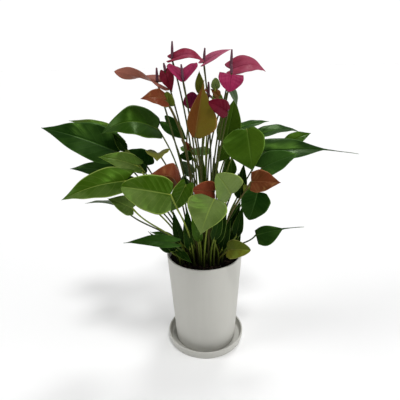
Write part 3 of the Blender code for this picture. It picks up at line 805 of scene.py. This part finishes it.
@once
def spathe_material(family, back=False):
    low, high, vein, rear = SPATHE_COLOURS[family]
    gloss = (1.0, 0.35, 0.5, 1.0)
    name = ("spathe_back_" if back else "spathe_") + family
    shade = Shade(name, 0.4, Specular_IOR_Level=0.12, Specular_Tint=gloss)
    u, _ = shade.uv()
    out = shade.sum("ABSOLUTE", shade.sum("MULTIPLY_ADD", u, 2.0, -1.0))
    wobble = shade.sum("MULTIPLY", shade.noise(90.0), 0.25)
    lines = shade.sum("MULTIPLY_ADD", shade.sum("POWER", out, VEIN_BEND), 3.6, wobble)
    lines = shade.sum("FRACT", lines)
    saw = shade.sum("ABSOLUTE", shade.sum("MULTIPLY_ADD", lines, 2.0, -1.0))
    middle = shade.between(out, 0.02, 0.07, 1.0, 0.0)
    veins = shade.sum("MAXIMUM", shade.between(saw, 0.8, 0.98, 0.0, 0.8), middle)
    patches = shade.noise(70.0, 3.0)
    body = shade.mix(shade.toned(patches, 1.0), low, rear if back else high)
    body = shade.mix(shade.sum("MULTIPLY", veins, 0.5), body, vein)
    margin = tuple(c * 1.3 for c in rear)
    shade.colour(shade.mix(shade.between(out, 0.95, 0.995, 0.0, 0.5), body, margin))
    fine = shade.noise(1100.0, 3.0)
    shade.put(shade.shader.inputs["Roughness"], shade.between(patches, 0.2, 0.8, 0.36, 0.5))
    shade.bump(shade.sum("SUBTRACT", shade.sum("MULTIPLY", fine, 0.3), veins), 0.22, 0.0004)
    return shade.material


@once
def spadix_material():
    shade = Shade("spadix", 0.6, Specular_IOR_Level=0.3)
    grains = shade.noise(1600.0, 2.0)
    body = shade.mix(shade.between(grains, 0.3, 0.7), (0.060, 0.016, 0.028), (0.150, 0.052, 0.080))
    shade.colour(shade.mix(shade.between(shade.tone(), 0.7, 1.0, 0.0, 0.4), body, (0.18, 0.08, 0.10)))
    shade.bump(grains, 0.5, 0.0003)
    return shade.material


@once
def plastic_material(name, colour, roughness):
    shade = Shade(name, roughness, Specular_IOR_Level=0.4)
    cloud = shade.noise(9.0, 3.0)
    grain = shade.noise(2600.0, 2.0)
    streaks = shade.noise(120.0, 2.0, shade.place((1.0, 1.0, 0.04)))
    dark = tuple(c * 0.93 for c in colour)
    body = shade.mix(shade.between(cloud, 0.3, 0.7), colour, dark)
    body = shade.mix(shade.between(grain, 0.4, 0.8, 0.0, 0.12), body, dark)
    shade.colour(shade.mix(shade.between(streaks, 0.35, 0.7, 0.0, 0.25), body, dark))
    uneven = shade.between(cloud, 0.2, 0.8, roughness - 0.05, roughness + 0.08)
    shade.put(shade.shader.inputs["Roughness"], uneven)
    shade.bump(shade.sum("ADD", grain, shade.sum("MULTIPLY", streaks, 0.4)), 0.22, 0.0002)
    return shade.material


@once
def soil_material():
    shade = Shade("soil", 0.95, Specular_IOR_Level=0.05)
    coarse = shade.noise(260.0, 4.0)
    fine = shade.noise(1800.0, 4.0, rough=0.7)
    body = shade.mix(shade.between(coarse, 0.35, 0.65), (0.002, 0.0015, 0.001), (0.008, 0.005, 0.004))
    shade.colour(shade.mix(shade.between(fine, 0.62, 0.76), body, (0.022, 0.015, 0.010)))
    shade.bump(shade.sum("ADD", coarse, fine), 0.9, 0.0012)
    return shade.material


@once
def crumb_material(name, low, high):
    shade = Shade(name, 0.9, Specular_IOR_Level=0.08)
    grain = shade.noise(1400.0, 4.0, rough=0.7)
    shade.colour(shade.mix(shade.toned(grain, 0.8), low, high))
    shade.bump(grain, 0.7, 0.0006)
    return shade.material


# ---------------------------------------------------------------- pot, saucer and soil


POT_Z = POT_LOW.z
POT_TALL = POT_HIGH.z - POT_LOW.z
POT_RIM_RADIUS = (POT_HIGH.x - POT_LOW.x) / 2
GREIGE = (0.50, 0.495, 0.455)


def pot_radius(height):
    return POT_FOOT_RADIUS + (POT_RIM_RADIUS - POT_FOOT_RADIUS) * height / POT_TALL


def pot():
    tall = POT_TALL
    corners = [
        (DRAIN_RADIUS, POT_BASE),
        (DRAIN_RADIUS, POT_HOLLOW),
        (DRAIN_RADIUS + 0.0006, POT_HOLLOW),
        (POT_FOOT_RADIUS - 0.006, POT_HOLLOW),
        (POT_FOOT_RADIUS - 0.0055, 0.0),
        (POT_FOOT_RADIUS, 0.0),
        *[(pot_radius(h), h) for h in np.linspace(0.006, tall - 0.004, 12)],
        (POT_RIM_RADIUS, tall),
        (POT_RIM_RADIUS - POT_WALL, tall),
        *[(pot_radius(h) - POT_WALL, h) for h in np.linspace(tall - 0.004, POT_BASE + 0.006, 12)],
        (pot_radius(POT_BASE) - POT_WALL, POT_BASE),
        (DRAIN_RADIUS + 0.002, POT_BASE),
    ]
    outline = np.array(rounded(corners, POT_CORNER))
    outline[:, 1] += POT_Z
    build = Build()
    index = turned(build, np.concatenate([outline, outline[:1]]), POT_STEPS)
    last = index[-1, 0]  # the last ring is the first one again
    build.quads[0] = np.where(build.quads[0] >= last, build.quads[0] - last, build.quads[0])
    made = build.finish("plant_pot", [plastic_material("pot_plastic", GREIGE, 0.5)])
    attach(made, "root")
    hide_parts("pot")


def saucer():
    rim = (SAUCER_HIGH.x - SAUCER_LOW.x) / 2
    tall = SAUCER_HIGH.z - SAUCER_LOW.z
    foot = SAUCER_FOOT_RADIUS
    corners = [
        (0.0, 0.0),
        (foot - 0.010, 0.0),
        (foot, 0.0),
        (rim - 0.0003, tall * 0.6),
        (rim, tall),
        (rim - SAUCER_WALL, tall),
        (rim - SAUCER_WALL - 0.0004, tall * 0.6),
        (foot - SAUCER_WALL, SAUCER_FLOOR),
        (foot - 0.012, SAUCER_FLOOR),
        (foot - 0.0128, SAUCER_FLOOR - SAUCER_HOLLOW),
        (foot - 0.0136, SAUCER_FLOOR - SAUCER_HOLLOW),
        (0.0, SAUCER_FLOOR - SAUCER_HOLLOW),
    ]
    outline = np.array(rounded(corners, SAUCER_CORNER))
    build = Build()
    index = turned(build, outline[1:-1], POT_STEPS)
    ends = build.points(np.array([[0, 0, outline[0, 1]], [0, 0, outline[-1, 1]]]))
    build.fan(index[0], ends[0], 0, flip=True)
    build.fan(index[-1], ends[1], 0)
    made = build.finish("plant_saucer", [plastic_material("pot_plastic", GREIGE, 0.5)])
    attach(made, "root")
    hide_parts("saucer")


def lumps(x, y, seed):
    """Smooth made-up hills between about -1 and 1, the same each run."""
    chance = np.random.RandomState(seed)
    total = np.zeros_like(x)
    for size, share in ((90.0, 0.45), (210.0, 0.30), (460.0, 0.18), (900.0, 0.12)):
        for _ in range(5):
            turn, start = chance.rand(2) * math.tau
            wave = size * (0.8 + 0.4 * chance.rand())
            total += share * 0.5 * np.sin(wave * (x * math.cos(turn) + y * math.sin(turn)) + start)
    return total


def soil_fall(share):
    """How much lower the soil lies at this share of the way out to the pot's wall."""
    return SOIL_DIP * smooth(SOIL_DIP_FROM, 1.0, share)


def soil():
    steps = SOIL_STEPS
    low = SOIL_LOW.z
    edge = SOIL_HIGH.z - SOIL_DIP
    foot = low + SOIL_BEVEL
    inset = POT_WALL + GAP
    rim = pot_radius(edge - POT_Z) - inset
    share = np.linspace(0.004, 1, SOIL_RINGS)
    angles = np.arange(steps) * math.tau / steps
    radius = np.outer(share, np.full(steps, rim))
    x = radius * np.cos(angles)
    y = radius * np.sin(angles)
    drop = soil_fall(share)[:, None]
    z = SOIL_HIGH.z - drop + SOIL_LUMPS * lumps(x, y, SOIL_SEED) * (1 - smooth(0.95, 1.0, share)[:, None])
    build = Build()
    top = build.points(np.stack([x, y, z], -1).reshape(-1, 3)).reshape(x.shape)
    peak = build.points(np.array([[0.0, 0.0, float(z[0].mean())]]))
    ring = np.stack([np.cos(angles), np.sin(angles), np.zeros(steps)], -1)
    down = [
        ring * (pot_radius(h - POT_Z) - inset) + np.array([0.0, 0.0, h])
        for h in np.linspace(edge - 0.002, foot, 8)
    ]
    bevelled = (pot_radius(foot - POT_Z) - inset) * (1 - SOIL_BEVEL / rim)
    down.append(ring * bevelled + np.array([0.0, 0.0, low]))
    wall = build.points(np.concatenate(down)).reshape(len(down), steps)
    floor = build.points(np.array([[0.0, 0.0, low]]))
    index = np.concatenate([top, wall])
    build.wrap(index, np.linspace(0, 1, len(index)), 0, flip=True)
    build.fan(top[0], peak[0], 0)
    build.fan(wall[-1], floor[0], 0, flip=True)
    made = build.finish("potting_soil", [soil_material()])
    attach(made, "root")
    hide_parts("soil")


def crumbs(name, made_of, count, sizes, flat, seed):
    """Bits lying on the soil, each a dented ball of its own shape."""
    chance = np.random.RandomState(seed)
    build = Build()
    rings, sides = 7, 9
    for _ in range(count):
        distance = CRUMB_REACH * math.sqrt(chance.rand())
        turn = chance.rand() * math.tau
        size = sizes[0] + (sizes[1] - sizes[0]) * chance.rand() ** 2
        scale = size * np.array([1.0, 0.45 + 0.5 * chance.rand(), flat * (0.6 + 0.5 * chance.rand())])
        tall = np.linspace(0, math.pi, rings + 2)[1:-1, None]
        round_ = np.arange(sides)[None, :] * math.tau / sides
        ball = [np.sin(tall) * np.cos(round_), np.sin(tall) * np.sin(round_), np.cos(tall) + 0 * round_]
        ball = np.stack(ball, -1)
        ball = ball * (1 + CRUMB_DENTS * (chance.rand(rings, sides, 1) - 0.5) * 2) * scale
        spin, tip = chance.rand() * math.tau, (chance.rand() - 0.5) * 0.9
        turn_z = [[math.cos(spin), -math.sin(spin), 0], [math.sin(spin), math.cos(spin), 0], [0, 0, 1]]
        turn_x = [[1, 0, 0], [0, math.cos(tip), -math.sin(tip)], [0, math.sin(tip), math.cos(tip)]]
        matrix = np.array(turn_z) @ np.array(turn_x)
        x, y = distance * math.cos(turn), distance * math.sin(turn)
        height = SOIL_HIGH.z - soil_fall(distance / SOIL_REACH)
        height = height + SOIL_LUMPS * float(lumps(np.array(x), np.array(y), SOIL_SEED))
        middle = np.array([x, y, height + scale[2] * 0.35])
        tone = chance.rand()
        index = build.points(middle + (ball.reshape(-1, 3) @ matrix.T), tone).reshape(rings, sides)
        ends = build.points(middle + np.array([[0, 0, scale[2]], [0, 0, -scale[2]]]) @ matrix.T, tone)
        build.wrap(index, np.linspace(0, 1, rings), 0, flip=True)
        build.fan(index[0], ends[0], 0)
        build.fan(index[-1], ends[1], 0, flip=True)
    made = build.finish(name, [made_of])
    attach(made, "root")


# ---------------------------------------------------------------- studio


SKY_LIGHT = 0.26
SKY_SEEN = 1.05  # what the camera sees of the sky
FLOOR_REACH = 9.0
FLOOR_WHITE = (0.92, 0.92, 0.92, 1.0)
LENS = 36.0
CAMERA_PLACE = (-0.0056, -0.592, 0.494)
CAMERA_PITCH = 68.61
CAMERA_ROLL = -1.16


def sun(name, towards, strength, spread):
    """A far soft light from this direction."""
    lamp = bpy.data.lights.new(name, "SUN")
    lamp.energy = strength
    lamp.angle = math.radians(spread)
    thing = bpy.data.objects.new(name, lamp)
    bpy.context.scene.collection.objects.link(thing)
    thing.rotation_euler = Vector(towards).to_track_quat("Z", "Y").to_euler()


def studio():
    scene = bpy.context.scene
    world = bpy.data.worlds.new("studio")
    scene.world = world
    world.use_nodes = True
    nodes, links = world.node_tree.nodes, world.node_tree.links
    nodes.clear()
    output = nodes.new("ShaderNodeOutputWorld")
    mix = nodes.new("ShaderNodeMixShader")
    ray = nodes.new("ShaderNodeLightPath")
    links.new(ray.outputs["Is Camera Ray"], mix.inputs[0])
    for socket, strength in ((1, SKY_LIGHT), (2, SKY_SEEN)):
        sky = nodes.new("ShaderNodeBackground")
        sky.inputs["Color"].default_value = (1.0, 1.0, 1.0, 1.0)
        sky.inputs["Strength"].default_value = strength
        links.new(sky.outputs[0], mix.inputs[socket])
    links.new(mix.outputs[0], output.inputs[0])

    floor_mesh = bpy.data.meshes.new("floor")
    places = [(x * FLOOR_REACH, y * FLOOR_REACH, 0) for x, y in ((-1, -1), (1, -1), (1, 1), (-1, 1))]
    floor_mesh.from_pydata(places, [], [(0, 1, 2, 3)])
    floor = bpy.data.objects.new("floor", floor_mesh)
    scene.collection.objects.link(floor)
    white = bpy.data.materials.new("floor_white")
    white.use_nodes = True
    shader = white.node_tree.nodes["Principled BSDF"]
    shader.inputs["Base Color"].default_value = FLOOR_WHITE
    shader.inputs["Roughness"].default_value = 0.9
    shader.inputs["Specular IOR Level"].default_value = 0.1
    floor_mesh.materials.append(white)

    sun("front_light", (0.19, -0.43, 1.0), 1.15, 11)
    sun("back_light", (0.20, 0.41, 1.0), 0.85, 11)
    sun("side_light", (-1.0, -0.2, 0.75), 0.95, 26)
    sun("window", (1.0, -0.3, 0.2), 1.55, 50)

    scene.view_settings.view_transform = "Standard"

    lens = bpy.data.cameras.new("camera")
    lens.lens = LENS
    lens.sensor_width = 36.0
    camera = bpy.data.objects.new("camera", lens)
    scene.collection.objects.link(camera)
    camera.location = CAMERA_PLACE
    camera.rotation_mode = "QUATERNION"
    pitch = Quaternion((1.0, 0.0, 0.0), math.radians(CAMERA_PITCH))
    roll = Quaternion((0.0, 0.0, 1.0), math.radians(CAMERA_ROLL))
    camera.rotation_quaternion = pitch @ roll
    scene.camera = camera


saucer()
pot()
soil()
bark = crumb_material("bark", (0.003, 0.002, 0.0015), (0.022, 0.013, 0.009))
crumbs("bark_bits", bark, 420, (0.0008, 0.0036), 0.6, 11)
pumice = crumb_material("pumice", (0.12, 0.11, 0.09), (0.30, 0.28, 0.25))
crumbs("pumice_grains", pumice, 12, (0.0006, 0.0013), 0.8, 12)
for number, plan in enumerate(LEAVES, 1):
    leaf(f"foliage_{number:02d}", plan, number, f"leaf_{number:02d}")
for number, plan in enumerate(UNDERGROWTH, 1):
    leaf(f"undergrowth_{number:02d}", plan, 200 + number)
for number, plan in enumerate(FLOWERS, 1):
    flower(number, plan)
studio()
